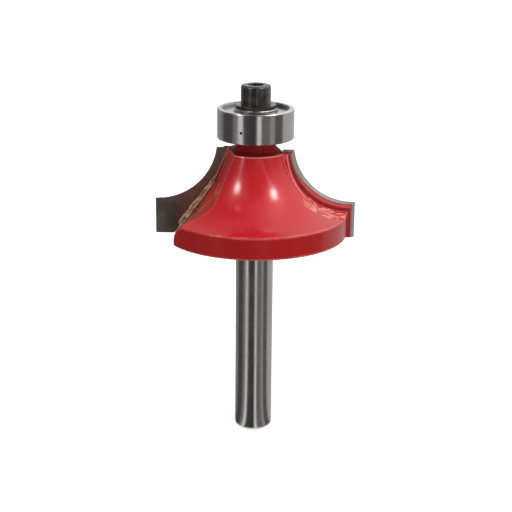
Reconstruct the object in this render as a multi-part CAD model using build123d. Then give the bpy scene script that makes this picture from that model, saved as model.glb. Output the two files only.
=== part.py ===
from build123d import *
import math
import os

# A two-flute round-over router bit with a pilot bearing, standing on the end of its shank.
# The origin is the centre of the shank's end face, and +Z runs along the axis to the bearing.
# The two tips lie on the X axis, and each one turned half a turn about Z is the other.
# Every size is in millimetres.

# Shank
SHANK_DIA = 6.35
SHANK_LENGTH = 35.45
SHANK_CHAMFER = 0.6
SHANK_ROOT_FILLET = 0.4

# Ground profile of the cutting edge
ROUND_OVER_RADIUS = 10.0
EDGE_LAND = 0.3
STRAIGHT_EDGE_HEIGHT = 6.1
ARC_STOPS_SHORT = 1.2

# Carbide tips: widths measured inwards from the ground profile, and relief angles behind the edge
FACE_OFFSET = 0.75
TIP_THICKNESS = 2.0
TIP_BELOW_HEAD = 0.4
TIP_TOP_WIDTH = 1.88
TIP_KNEE_WIDTH = 2.08
TIP_KNEE_BELOW_TOP = 5.7
TIP_FOOT_WIDTH = 3.0
TIP_ARC_RELIEF = 18.5
TIP_ARC_DROP = 14.0
TIP_EDGE_RELIEF = 22.0
TIP_END_RELIEF = 14.0

# Braze
BRAZE_GAP = 0.1
BEAD_RADIUS = 0.28

# Flanged bell head
FLANGE_RADIUS = 15.4
FLANGE_HEIGHT = 3.7
RIM_ROUND = 0.25
BELL_HEIGHT = 10.5
BELL_TOP_RADIUS = 5.2
BELL_ARC_RADIUS = 13.3
BELL_TOP_ROUND = 0.3

# Lobes behind the tips
LOBE_RECESS = 0.5
LOBE_ARC_RELIEF = 15.0
LOBE_ARC_DROP = 15.0
LOBE_EDGE_RELIEF = 20.0
LOBE_FOOT_RELIEF = 10.0
LOBE_BACK_AT_AXIS = 1.83
LOBE_BACK_ANGLE = 12.5
LOBE_ROUND = 0.25

# Gullets: the wall's height above the head's base, its distance inside the tip and its radius at the mouth
GULLET_MOUTH = 8.75
GULLET_WALL = [(-1.1, 0.91, 12.9), (3.8, 1.01, 11.5), (5.7, 1.11, 7.5), (10.2, 0.82, 4.55), (15.4, -0.15, 1.6)]
GULLET_REACH = 22.0

# Neck and spigot
NECK_HEIGHT = 2.1
NECK_FILLET = 0.9
SPIGOT_SHORT = 0.1

# Pilot bearing
BEARING_DIA = 12.7
BEARING_BORE = 4.762
BEARING_WIDTH = 4.978
BEARING_EDGE_ROUND = 0.2
RACE_WALL = 1.07
CLAMP_INSIDE_LAND = 0.1
RING_CHAMFER = 0.12
BALL_DIA = 2.381
BALL_COUNT = 7
GROOVE_CONFORMITY = 0.52
BALL_CLEARANCE = 0.03

# Shields and their snap wires
SHIELD_DEPTH = 0.3
SHIELD_THICKNESS = 0.2
SHIELD_INNER_GAP = 0.15
SHIELD_LIP = 0.25
SHIELD_BEND = 0.15
SHIELD_SEAT_STEP = 0.27
SNAP_WIRE_THICKNESS = 0.25
SNAP_WIRE_WIDTH = 0.3
SNAP_GROOVE_DEPTH = 0.15
SNAP_WIRE_OPENING = 40.0
SHIELD_CLEARANCE = 0.02

# Ball cage
CAGE_THICKNESS = 0.5
CAGE_CLEARANCE = 0.05
CAGE_BACK = 0.25
CAGE_PRONG_BELOW = 0.7

# Washer and socket screw
WASHER_THICKNESS = 0.6
WASHER_HOLE_CLEARANCE = 0.12
SCREW_DIA = 3.175
SCREW_HEAD_DIA = 4.95
SCREW_HEAD_HEIGHT = 3.18
SCREW_HEAD_ROUND = 0.4
SCREW_STEM_LENGTH = 10.0
SCREW_STEM_CHAMFER = 0.35
HEX_ACROSS_FLATS = 2.4
HEX_DEPTH = 1.6
HEX_LEAD_IN = 0.12
HEX_TURN = -17.5
TAPPED_HOLE_SPARE = 1.0

# Clearance of pieces that sit in or on one another
SEAT_CLEARANCE = 0.01

# Heights and radii that follow from the sizes above
HEAD_BASE = SHANK_LENGTH
HEAD_TOP = HEAD_BASE + FLANGE_HEIGHT + BELL_HEIGHT
RIM_Z = HEAD_BASE + FLANGE_HEIGHT
TIP_BOTTOM = HEAD_BASE - TIP_BELOW_HEAD
ARC_CENTRE_RADIUS = BEARING_DIA / 2 + ROUND_OVER_RADIUS
ARC_CENTRE_Z = TIP_BOTTOM + STRAIGHT_EDGE_HEIGHT + ROUND_OVER_RADIUS
TIP_TOP = ARC_CENTRE_Z - ARC_STOPS_SHORT
TIP_KNEE = TIP_TOP - TIP_KNEE_BELOW_TOP
TIP_RADIUS = ARC_CENTRE_RADIUS + EDGE_LAND
BEARING_SEAT = HEAD_TOP + NECK_HEIGHT
BEARING_TOP = BEARING_SEAT + BEARING_WIDTH
BEARING_MIDDLE = BEARING_SEAT + BEARING_WIDTH / 2
SPIGOT_RADIUS = BEARING_BORE / 2 - SEAT_CLEARANCE
SPIGOT_TOP = BEARING_TOP - SPIGOT_SHORT
PITCH_RADIUS = (BEARING_DIA + BEARING_BORE) / 4
GROOVE_RADIUS = GROOVE_CONFORMITY * BALL_DIA
INNER_LAND_RADIUS = BEARING_BORE / 2 + RACE_WALL
OUTER_LAND_RADIUS = BEARING_DIA / 2 - RACE_WALL
SHIELD_SEAT_RADIUS = OUTER_LAND_RADIUS + SHIELD_SEAT_STEP
CLAMP_RADIUS = INNER_LAND_RADIUS - CLAMP_INSIDE_LAND
SCREW_SEAT = BEARING_TOP + WASHER_THICKNESS
SCREW_RADIUS = SCREW_DIA / 2


def turned(outline):
    """Revolve a closed outline, drawn as radius across and height up, about the Z axis."""
    return revolve(Plane.XZ * outline, axis=Axis.Z)


def ring_outline(inner, outer, low, high):
    """Rectangle from one radius to another between two heights."""
    return Pos((inner + outer) / 2, (low + high) / 2) * Rectangle(outer - inner, high - low)


def corners_at(outline, radius, height):
    """Corners of an outline that lie at a radius and a height."""
    return [v for v in outline.vertices() if abs(v.X - radius) < 0.001 and abs(v.Y - height) < 0.001]


def half_turned(shape):
    """The same shape on the other side of the axis."""
    return Rot(0, 0, 180) * shape


def fall(depth, angle):
    """How far a surface at a relief angle has fallen away at a depth behind the edge."""
    return depth * math.tan(math.radians(angle))


def relieved_section(depth, arc_inward, arc_down, edge_inward, low, high, inner_points):
    """Cutter outline in a plane parallel to the tip's face, moved in from the ground profile.

    The arc keeps its radius and moves inwards and down, and the straight edge moves inwards.
    """
    edge = TIP_RADIUS - edge_inward
    centre = (ARC_CENTRE_RADIUS - arc_inward, ARC_CENTRE_Z - arc_down)
    arc_low = (edge, centre[1] - math.sqrt(ROUND_OVER_RADIUS ** 2 - (edge - centre[0]) ** 2))
    arc_high = (centre[0] - math.sqrt(ROUND_OVER_RADIUS ** 2 - (centre[1] - high) ** 2), high)
    on_diagonal = ROUND_OVER_RADIUS * math.sqrt(0.5)
    arc_middle = (centre[0] - on_diagonal, centre[1] - on_diagonal)
    outline = Curve() + [
        Line((edge, low), arc_low),
        ThreePointArc(arc_low, arc_middle, arc_high),
        Polyline(arc_high, *inner_points, (edge, low)),
    ]
    return Plane.XZ.offset(FACE_OFFSET + depth) * make_face(outline)


def arc_radius_at(height):
    """Distance of the ground arc from the axis at a height."""
    return ARC_CENTRE_RADIUS - math.sqrt(ROUND_OVER_RADIUS ** 2 - (ARC_CENTRE_Z - height) ** 2)


def tip_inner_corners():
    """Top, knee and foot of the tip's inner edge."""
    return (
        (arc_radius_at(TIP_TOP) - TIP_TOP_WIDTH, TIP_TOP),
        (arc_radius_at(TIP_KNEE) - TIP_KNEE_WIDTH, TIP_KNEE),
        (TIP_RADIUS - TIP_FOOT_WIDTH, TIP_BOTTOM),
    )


def tip_inner_radius(height):
    """Distance of the tip's inner edge from the axis, its two lines carried on past their ends."""
    top, knee, foot = tip_inner_corners()
    end = top if height > TIP_KNEE else foot
    return knee[0] + (height - TIP_KNEE) * (end[0] - knee[0]) / (end[1] - TIP_KNEE)


def tip_inner_points(inward=0.0, depth=0.0):
    """Corners of the tip's inner edge from the top down, moved towards the axis by a distance.

    The top and bottom faces close in with the depth behind the cutting face.
    """
    top, knee, foot = tip_inner_corners()
    upper = math.atan2(top[1] - knee[1], top[0] - knee[0])
    lower = math.atan2(knee[1] - foot[1], knee[0] - foot[0])
    middle = (upper + lower) / 2
    knee_shift = inward / math.cos((upper - lower) / 2)
    high = TIP_TOP - fall(depth, TIP_END_RELIEF)
    low = TIP_BOTTOM + fall(depth, TIP_END_RELIEF)
    return [
        (tip_inner_radius(high) - inward / math.sin(upper), high),
        (knee[0] - knee_shift * math.sin(middle), knee[1] + knee_shift * math.cos(middle)),
        (tip_inner_radius(low) - inward / math.sin(lower), low),
    ]


def tip_section(depth, inward=0.0):
    """Outline of the tip at a depth behind its cutting face."""
    inner_points = tip_inner_points(inward, depth)
    return relieved_section(
        depth,
        fall(depth, TIP_ARC_RELIEF),
        fall(depth, TIP_ARC_DROP),
        fall(depth, TIP_EDGE_RELIEF),
        inner_points[-1][1],
        inner_points[0][1],
        inner_points,
    )


def braze_edge_section(depth):
    """Outline of the braze beside the tip's inner edge, at a depth behind the cutting face."""
    tip_side = tip_inner_points(0, depth)
    body_side = tip_inner_points(BRAZE_GAP, depth)
    return Plane.XZ.offset(FACE_OFFSET + depth) * make_face(Polyline(*tip_side, *reversed(body_side), tip_side[0]))


def carbide_tip():
    """One tip on the +X side, its cutting face looking along +Y."""
    return loft([tip_section(0), tip_section(TIP_THICKNESS)], ruled=True)


def braze():
    """Thin layer behind and inside the tip, with the bead along the tip's long inner edge."""
    back = loft(
        [tip_section(TIP_THICKNESS, BRAZE_GAP), tip_section(TIP_THICKNESS + BRAZE_GAP, BRAZE_GAP)],
        ruled=True,
    )
    edge = loft([braze_edge_section(0), braze_edge_section(TIP_THICKNESS)], ruled=True)
    knee, foot = tip_inner_points(BEAD_RADIUS)[1:]
    start = Vector(knee[0], -FACE_OFFSET, knee[1])
    along = Vector(foot[0], -FACE_OFFSET, foot[1]) - start
    reach = along.length - BEAD_RADIUS - TIP_BELOW_HEAD
    rod = extrude(Plane(origin=start, z_dir=along) * Circle(BEAD_RADIUS), reach)
    before_face = Pos(foot[0], GULLET_MOUTH / 2 - FACE_OFFSET, HEAD_BASE) * Box(
        GULLET_REACH, GULLET_MOUTH, GULLET_REACH * 2
    )
    return back + edge + (rod & before_face)


def bell_outline():
    """Half section of everything that is turned: shank, flange, bell, neck and spigot."""
    shank = SHANK_DIA / 2
    bell = RadiusArc((FLANGE_RADIUS, RIM_Z), (BELL_TOP_RADIUS, HEAD_TOP), BELL_ARC_RADIUS)
    lower = Polyline(
        (0, 0),
        (shank - SHANK_CHAMFER, 0),
        (shank, SHANK_CHAMFER),
        (shank, HEAD_BASE),
        (FLANGE_RADIUS, HEAD_BASE),
        (FLANGE_RADIUS, RIM_Z),
    )
    upper = Polyline(
        (BELL_TOP_RADIUS, HEAD_TOP),
        (CLAMP_RADIUS, HEAD_TOP),
        (CLAMP_RADIUS, BEARING_SEAT),
        (SPIGOT_RADIUS, BEARING_SEAT),
        (SPIGOT_RADIUS, SPIGOT_TOP),
        (0, SPIGOT_TOP),
        (0, 0),
    )
    outline = make_face(Curve() + [lower, bell, upper])
    rounds = [
        (shank, HEAD_BASE, SHANK_ROOT_FILLET),
        (FLANGE_RADIUS, HEAD_BASE, RIM_ROUND),
        (FLANGE_RADIUS, RIM_Z, RIM_ROUND),
        (BELL_TOP_RADIUS, HEAD_TOP, BELL_TOP_ROUND),
        (CLAMP_RADIUS, HEAD_TOP, NECK_FILLET),
    ]
    for radius, height, size in rounds:
        outline = fillet(corners_at(outline, radius, height), size)
    return outline


def lobe():
    """Backing of the +X tip, relieved behind the edge and ended by a slanted upright plane."""
    sections = []
    for depth in (0, TIP_THICKNESS * 3):
        arc_inward = LOBE_RECESS + fall(depth, LOBE_ARC_RELIEF)
        arc_down = LOBE_RECESS + fall(depth, LOBE_ARC_DROP)
        edge_inward = LOBE_RECESS + fall(depth, LOBE_EDGE_RELIEF)
        low = HEAD_BASE + fall(depth, LOBE_FOOT_RELIEF)
        inner = [(0, HEAD_TOP), (0, low)]
        sections.append(relieved_section(depth, arc_inward, arc_down, edge_inward, low, HEAD_TOP, inner))
    block = loft(sections, ruled=True)
    place = Pos(0, -LOBE_BACK_AT_AXIS, HEAD_BASE) * Rot(0, 0, -LOBE_BACK_ANGLE)
    behind = place * Box(
        GULLET_REACH * 3, GULLET_REACH, GULLET_REACH * 3, align=(Align.CENTER, Align.MAX, Align.CENTER)
    )
    block = block - behind
    back = block.faces().sort_by(place.y_axis)[0]
    between_ends = back.edges().sort_by(Axis.Z)[1:-1]
    return fillet([edge for edge in between_ends if edge.center().X > SHANK_DIA / 2], LOBE_ROUND)


def gullet():
    """Space in front of the +X tip's face, bounded by a wall that twists from the tip to its mouth."""
    at_tip = [
        (tip_inner_radius(HEAD_BASE + height) - inside, HEAD_BASE + height)
        for height, inside, radius in GULLET_WALL
    ]
    at_mouth = [(radius, HEAD_BASE + height) for height, inside, radius in GULLET_WALL]
    sections = []
    for wall, out in ((at_tip, 0), (at_mouth, GULLET_MOUTH)):
        low = (GULLET_REACH, wall[0][1])
        high = (GULLET_REACH, wall[-1][1])
        outline = make_face(Curve() + [Spline(*wall), Polyline(wall[-1], high, low, wall[0])])
        sections.append(Plane.XZ.offset(FACE_OFFSET - out) * outline)
    near = loft(sections, ruled=True)
    return near + extrude(sections[1], -GULLET_REACH)


def tip_pocket():
    """Seat of the +X tip and its braze, open outwards, above and below."""
    top, knee, foot = tip_inner_points(BRAZE_GAP)
    outline = make_face(Polyline(
        (top[0], TIP_TOP),
        knee,
        foot,
        (GULLET_REACH, TIP_BOTTOM),
        (GULLET_REACH, TIP_TOP),
        (top[0], TIP_TOP),
    ))
    return extrude(Plane.XZ.offset(FACE_OFFSET) * outline, TIP_THICKNESS + BRAZE_GAP)


def tapped_hole():
    """Blind hole down the spigot for the screw's stem."""
    depth = SCREW_STEM_LENGTH - WASHER_THICKNESS - SPIGOT_SHORT + TAPPED_HOLE_SPARE
    return Pos(0, 0, SPIGOT_TOP) * Cylinder(
        SCREW_RADIUS + SEAT_CLEARANCE, depth, align=(Align.CENTER, Align.CENTER, Align.MAX)
    )


def bit_body():
    """Shank, head, neck and spigot in one piece of steel."""
    one_lobe = lobe()
    body = turned(bell_outline()) + one_lobe + half_turned(one_lobe)
    for cut in (gullet(), tip_pocket()):
        body = body - cut - half_turned(cut)
    return body - tapped_hole()


def groove(radius):
    """Ball track of circular section whose deepest point is at a radius."""
    inwards = radius < PITCH_RADIUS
    centre = radius + GROOVE_RADIUS if inwards else radius - GROOVE_RADIUS
    return Pos(centre, BEARING_MIDDLE) * Circle(GROOVE_RADIUS)


def inner_ring():
    """Inner race, clamped between the neck and the washer."""
    outline = ring_outline(BEARING_BORE / 2, INNER_LAND_RADIUS, BEARING_SEAT, BEARING_TOP)
    outline = chamfer(outline.vertices(), RING_CHAMFER)
    return turned(outline - groove(PITCH_RADIUS - BALL_DIA / 2 - BALL_CLEARANCE))


def outer_ring():
    """Outer race, with a stepped seat for a shield and its snap wire in each end."""
    outline = ring_outline(OUTER_LAND_RADIUS, BEARING_DIA / 2, BEARING_SEAT, BEARING_TOP)
    rims = corners_at(outline, BEARING_DIA / 2, BEARING_SEAT) + corners_at(outline, BEARING_DIA / 2, BEARING_TOP)
    outline = fillet(rims, BEARING_EDGE_ROUND)
    for side in (-1, 1):
        face = BEARING_MIDDLE + side * BEARING_WIDTH / 2
        wire_top = face - side * SHIELD_DEPTH
        wire_foot = wire_top - side * SNAP_WIRE_THICKNESS
        seat = wire_foot - side * SHIELD_THICKNESS
        mouth = ring_outline(0, SHIELD_SEAT_RADIUS, min(seat, face), max(seat, face))
        wire_reach = SHIELD_SEAT_RADIUS + SNAP_GROOVE_DEPTH
        wire_groove = ring_outline(0, wire_reach, min(wire_foot, wire_top), max(wire_foot, wire_top))
        outline = outline - mouth - wire_groove
    return turned(outline - groove(PITCH_RADIUS + BALL_DIA / 2 + BALL_CLEARANCE))


def shield():
    """Top shield: a pressed ring whose inner edge is turned down towards the balls."""
    top = BEARING_TOP - SHIELD_DEPTH - SNAP_WIRE_THICKNESS
    low = top - SHIELD_THICKNESS
    inner = INNER_LAND_RADIUS + SHIELD_INNER_GAP
    disc = ring_outline(inner, SHIELD_SEAT_RADIUS - SHIELD_CLEARANCE, low, top)
    lip = ring_outline(inner, inner + SHIELD_THICKNESS, low - SHIELD_LIP, top)
    outline = disc + lip
    return turned(fillet(corners_at(outline, inner, top), SHIELD_BEND))


def snap_wire():
    """Top snap wire: an open ring of flat wire sprung into its groove."""
    high = BEARING_TOP - SHIELD_DEPTH
    low = high - SNAP_WIRE_THICKNESS
    outer = SHIELD_SEAT_RADIUS + SNAP_GROOVE_DEPTH - SHIELD_CLEARANCE
    outline = ring_outline(outer - SNAP_WIRE_WIDTH, outer, low, high)
    open_ring = revolve(Plane.XZ * outline, axis=Axis.Z, revolution_arc=360 - SNAP_WIRE_OPENING)
    return Rot(0, 0, 90 + SNAP_WIRE_OPENING / 2) * open_ring


def mirrored_below(shape):
    """The same piece at the bearing's lower end."""
    return mirror(shape, about=Plane.XY.offset(BEARING_MIDDLE))


def ball_places():
    """Centre of each ball on the pitch circle."""
    return [
        Rot(0, 0, 360 * i / BALL_COUNT) * Pos(PITCH_RADIUS, 0, BEARING_MIDDLE)
        for i in range(BALL_COUNT)
    ]


def ball_cage():
    """Crown cage: a ring above the balls with prongs that reach down between them."""
    pocket = BALL_DIA / 2 + CAGE_CLEARANCE
    half = CAGE_THICKNESS / 2
    low = BEARING_MIDDLE - CAGE_PRONG_BELOW
    high = BEARING_MIDDLE + pocket + CAGE_BACK
    cage = turned(ring_outline(PITCH_RADIUS - half, PITCH_RADIUS + half, low, high))
    mouth = Cylinder(pocket * math.cos(math.asin(CAGE_PRONG_BELOW / pocket)), BALL_DIA)
    for place in ball_places():
        cage = cage - place * Sphere(pocket) - place * Pos(0, 0, -CAGE_PRONG_BELOW - BALL_DIA / 2) * mouth
    return cage


def washer():
    """Plain washer that clamps the inner ring."""
    outline = ring_outline(SCREW_RADIUS + WASHER_HOLE_CLEARANCE, CLAMP_RADIUS, BEARING_TOP, SCREW_SEAT)
    return turned(outline)


def socket_screw():
    """Socket head cap screw, its thread drawn as a plain stem."""
    head_radius = SCREW_HEAD_DIA / 2
    head_top = SCREW_SEAT + SCREW_HEAD_HEIGHT
    head = ring_outline(0, head_radius, SCREW_SEAT, head_top)
    head = fillet(corners_at(head, head_radius, head_top), SCREW_HEAD_ROUND)
    stem_foot = SCREW_SEAT - SCREW_STEM_LENGTH
    stem = ring_outline(0, SCREW_RADIUS, stem_foot, SCREW_SEAT)
    stem = chamfer(corners_at(stem, SCREW_RADIUS, stem_foot), SCREW_STEM_CHAMFER)
    hexagon = Rot(0, 0, HEX_TURN) * RegularPolygon(HEX_ACROSS_FLATS / 2, 6, major_radius=False)
    socket = extrude(Pos(0, 0, head_top) * hexagon, -HEX_DEPTH)
    mouth = Pos(0, 0, head_top) * Cone(
        HEX_ACROSS_FLATS / math.sqrt(3) - HEX_LEAD_IN,
        HEX_ACROSS_FLATS / math.sqrt(3) + HEX_LEAD_IN,
        HEX_LEAD_IN * 2,
    )
    return turned(head) + turned(stem) - socket - mouth


def pieces():
    """Every piece of the bit by its name."""
    tip = carbide_tip()
    layer = braze()
    top_shield = shield()
    top_wire = snap_wire()
    named = {
        "bit_body": bit_body(),
        "carbide_tip_a": half_turned(tip),
        "carbide_tip_b": tip,
        "braze_a": half_turned(layer),
        "braze_b": layer,
        "bearing_inner_ring": inner_ring(),
        "bearing_outer_ring": outer_ring(),
        "shield_top": top_shield,
        "shield_bottom": mirrored_below(top_shield),
        "shield_ring_top": top_wire,
        "shield_ring_bottom": mirrored_below(top_wire),
        "ball_cage": ball_cage(),
        "washer": washer(),
        "socket_screw": socket_screw(),
    }
    for number, place in enumerate(ball_places(), start=1):
        named[f"ball_{number}"] = place * Sphere(BALL_DIA / 2)
    return named


os.makedirs("parts", exist_ok=True)
for name, shape in pieces().items():
    export_step(shape, f"parts/{name}.step")
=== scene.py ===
import math
from functools import cached_property

import bpy
import numpy as np
from bpy.props import FloatProperty, FloatVectorProperty, PointerProperty
from mathutils import Matrix, Vector


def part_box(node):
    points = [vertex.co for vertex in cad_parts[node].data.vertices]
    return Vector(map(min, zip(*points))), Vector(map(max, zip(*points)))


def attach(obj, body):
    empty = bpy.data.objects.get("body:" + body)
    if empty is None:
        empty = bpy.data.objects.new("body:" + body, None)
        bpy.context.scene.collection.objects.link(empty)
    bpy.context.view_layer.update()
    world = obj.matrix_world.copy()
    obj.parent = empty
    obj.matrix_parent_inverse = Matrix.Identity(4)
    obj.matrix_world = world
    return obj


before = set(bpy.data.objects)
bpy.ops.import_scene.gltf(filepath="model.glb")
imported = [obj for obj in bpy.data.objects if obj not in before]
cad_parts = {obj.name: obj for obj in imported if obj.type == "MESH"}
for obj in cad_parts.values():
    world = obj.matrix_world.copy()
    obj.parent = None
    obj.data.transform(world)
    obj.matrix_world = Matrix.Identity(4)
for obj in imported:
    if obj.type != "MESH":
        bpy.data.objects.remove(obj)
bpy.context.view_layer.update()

bl_info = {
    "name": "Router bit looks",
    "version": (1, 0, 0),
    "blender": (4, 5, 0),
    "location": "3D View > Sidebar > Router Bit",
    "description": "Finishes for a round-over router bit and the plain studio that it stands in",
    "category": "Object",
}

MM = 0.001

# Places on the bit, read from the frame or measured from it
TIP_BELOW_HEAD = 0.4 * MM
HEAD_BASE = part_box("carbide_tip_a")[0].z + TIP_BELOW_HEAD
HEAD_TOP = HEAD_BASE + 14.2 * MM
RIM_HEIGHT = HEAD_BASE + 3.7 * MM
RIM_RADIUS = 15.4 * MM
LOBE_BACK = 1.83 * MM
LOBE_BACK_ANGLE = math.radians(12.5)
TIP_FACE = 0.75 * MM
TIP_THICKNESS = 2.0 * MM
TIP_KNEE = (7.03 * MM, HEAD_BASE + 8.8 * MM)
TIP_FOOT = (13.65 * MM, HEAD_BASE - TIP_BELOW_HEAD)
BEARING_NICK = Vector((-2.3 * MM, -5.92 * MM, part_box("bearing_outer_ring")[1].z - 3.0 * MM))

# How nodes are laid out in their editor
NODES_IN_ROW = 12
NODE_WIDTH, NODE_HEIGHT = 220, 260

# A Mix node has its own inputs and its own result for each kind of data
MIX_FACTOR = 0
NUMBER_LOW, NUMBER_HIGH, NUMBER_RESULT = 2, 3, 0
COLOUR_LOW, COLOUR_HIGH, COLOUR_RESULT = 6, 7, 2

WHITE = (1.0, 1.0, 1.0)


def socket_name(word):
    """Name of a socket, as in Coat IOR, from the same in small letters, as in coat_ior."""
    return word.replace("_", " ").title().replace("Ior", "IOR")


class Draft:
    """Adds nodes to a tree and joins them by socket. A mask is a number from 0 to 1."""

    def __init__(self, tree):
        self.tree = tree
        self.count = 0

    def add(self, kind, inputs=None, **settings):
        """One node: settings are its own values, inputs are numbers, colours or sockets."""
        row, column = divmod(self.count, NODES_IN_ROW)
        self.count += 1
        node = self.tree.nodes.new(kind)
        node.location = (NODE_WIDTH * column, -NODE_HEIGHT * row)
        for name, value in settings.items():
            setattr(node, name, value)
        for name, value in (inputs or {}).items():
            self.join(value, node.inputs[name])
        return node

    def effect(self, name, **values):
        """Outputs of one of the shared groups, placed with its own values."""
        node = self.add("ShaderNodeGroup")
        node.node_tree = bpy.data.node_groups.get(name) or EFFECT_MAKERS[name]()
        for label, value in values.items():
            self.join(value, node.inputs[socket_name(label)])
        return node.outputs

    def join(self, value, socket):
        """Link a socket into an input, or set the input's own value, three numbers for a colour."""
        if isinstance(value, bpy.types.NodeSocket):
            self.tree.links.new(value, socket)
        elif socket.type == "RGBA":
            socket.default_value = (*value, 1.0)
        else:
            socket.default_value = value

    @cached_property
    def place(self):
        """Object coordinates."""
        return self.add("ShaderNodeTexCoord").outputs["Object"]

    @cached_property
    def xyz(self):
        """The three parts of the place."""
        return tuple(self.add("ShaderNodeSeparateXYZ", {0: self.place}).outputs)

    @cached_property
    def facing(self):
        """The three parts of the surface's own normal."""
        normal = self.add("ShaderNodeTexCoord").outputs["Normal"]
        return tuple(self.add("ShaderNodeSeparateXYZ", {0: normal}).outputs)

    def calc(self, operation, first, second=0.0, third=0.0):
        """Result of a Math node."""
        inputs = {0: first, 1: second, 2: third}
        return self.add("ShaderNodeMath", inputs, operation=operation).outputs[0]

    def product(self, first, *others):
        """All the numbers multiplied."""
        for other in others:
            first = self.calc("MULTIPLY", first, other)
        return first

    def largest(self, first, *others):
        """The largest of the numbers."""
        for other in others:
            first = self.calc("MAXIMUM", first, other)
        return first

    def inverse(self, mask):
        """1 where the mask is 0, and 0 where it is 1."""
        return self.calc("SUBTRACT", 1.0, mask)

    def ragged(self, value, noise, reach):
        """A value moved by a noise, so that the edge of what follows it is uneven."""
        return self.calc("MULTIPLY_ADD", noise, reach, value)

    def measure(self, operation, first, second=(0.0, 0.0, 0.0)):
        """Number that a Vector Math node puts out."""
        inputs = {0: first, 1: second}
        return self.add("ShaderNodeVectorMath", inputs, operation=operation).outputs["Value"]

    def ramp(self, value, bounds):
        """0 at the first bound, 1 at the second and smooth between, whichever is larger."""
        node = self.add(
            "ShaderNodeMapRange",
            {"Value": value, "From Min": bounds[0], "From Max": bounds[1]},
            interpolation_type="SMOOTHSTEP",
        )
        return node.outputs["Result"]

    def fade(self, mask, low, high):
        """Number that goes from low to high as the mask goes from 0 to 1."""
        inputs = {MIX_FACTOR: mask, NUMBER_LOW: low, NUMBER_HIGH: high}
        return self.add("ShaderNodeMix", inputs, data_type="FLOAT").outputs[NUMBER_RESULT]

    def vary(self, mask, level, above, below=0.0):
        """Number that goes from below a level to above it as the mask goes from 0 to 1."""
        return self.fade(mask, level - below, level + above)

    def blend(self, mask, low, high, strength=1.0):
        """Colour that goes from low towards high, by the strength, as the mask goes from 0 to 1."""
        if strength != 1.0:
            mask = self.product(mask, strength)
        inputs = {MIX_FACTOR: mask, COLOUR_LOW: low, COLOUR_HIGH: high}
        return self.add("ShaderNodeMix", inputs, data_type="RGBA").outputs[COLOUR_RESULT]

    def noise(self, place, scale, detail=2.0):
        """Soft noise from 0 to 1, with its scale per metre of the place."""
        inputs = {"Vector": place, "Scale": scale, "Detail": detail}
        return self.add("ShaderNodeTexNoise", inputs).outputs["Fac"]

    def stretched(self, place, size, turn=(0.0, 0.0, 0.0)):
        """Coordinates turned, and then measured in steps of the size along each axis."""
        inputs = {"Vector": place, "Rotation": turn, "Scale": size}
        return self.add("ShaderNodeMapping", inputs, vector_type="TEXTURE").outputs[0]

    def bump(self, height, normal=None):
        """Normal from a height in millimetres, over another normal where one is given."""
        inputs = {"Height": height, "Distance": MM, "Strength": 1.0}
        if normal is not None:
            inputs["Normal"] = normal
        return self.add("ShaderNodeBump", inputs).outputs["Normal"]


class Finish(Draft):
    """Draft of a new material that has a Principled shader."""

    def __init__(self, name):
        self.material = bpy.data.materials.new(name)
        self.material.use_nodes = True
        super().__init__(self.material.node_tree)
        self.shader = self.tree.nodes["Principled BSDF"]

    def shade(self, **values):
        """Join values to the shader's inputs, named in small letters."""
        for label, value in values.items():
            self.join(value, self.shader.inputs[socket_name(label)])


# Shared effects: where a cloud's and a speck's edges begin and end, how many times finer a
# cloud's second noise is, and how much finer lines are than the bands that they lie in
CLOUD_EDGE = (0.38, 0.66)
CLOUD_TO_FINE = 7.0
BANDS_TO_LINES = 0.12
SPECK_EDGE = (0.3, 0.18)


def new_group(name, inputs, outputs):
    """Shader node group with named number sockets: its draft, its inputs and its output node."""
    tree = bpy.data.node_groups.new(name, "ShaderNodeTree")
    for label, start in inputs.items():
        socket = tree.interface.new_socket(
            name=label, in_out="INPUT", socket_type="NodeSocketFloat"
        )
        socket.default_value = start
    for label in outputs:
        tree.interface.new_socket(name=label, in_out="OUTPUT", socket_type="NodeSocketFloat")
    draft = Draft(tree)
    return draft, draft.add("NodeGroupInput").outputs, draft.add("NodeGroupOutput")


def grinding_effect():
    """Lines left by grinding round the axis: noise squeezed along Z, as fine lines and bands."""
    inputs = {"Line Width": 0.05 * MM, "Length": 3 * MM}
    draft, given, result = new_group("Grinding lines", inputs, ("Height", "Tone"))
    across = draft.calc("DIVIDE", 1.0, given["Line Width"])
    along = draft.calc("DIVIDE", 1.0, given["Length"])
    scale = draft.add("ShaderNodeCombineXYZ", {0: along, 1: along, 2: across}).outputs[0]
    squeezed = draft.add(
        "ShaderNodeVectorMath", {0: draft.place, 1: scale}, operation="MULTIPLY"
    ).outputs[0]
    draft.join(draft.noise(squeezed, 1.0, detail=3.0), result.inputs["Height"])
    draft.join(draft.noise(squeezed, BANDS_TO_LINES), result.inputs["Tone"])
    return draft.tree


def cloud_effect():
    """Uneven patches such as wiped oil or thin coating: broad noise sharpened into islands."""
    draft, given, result = new_group("Cloud", {"Size": 3 * MM}, ("Mask", "Fine"))
    scale = draft.calc("DIVIDE", 1.0, given["Size"])
    broad = draft.noise(draft.place, scale, detail=4.0)
    fine = draft.noise(draft.place, draft.product(scale, CLOUD_TO_FINE), detail=3.0)
    draft.join(draft.ramp(broad, CLOUD_EDGE), result.inputs["Mask"])
    draft.join(fine, result.inputs["Fine"])
    return draft.tree


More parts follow.
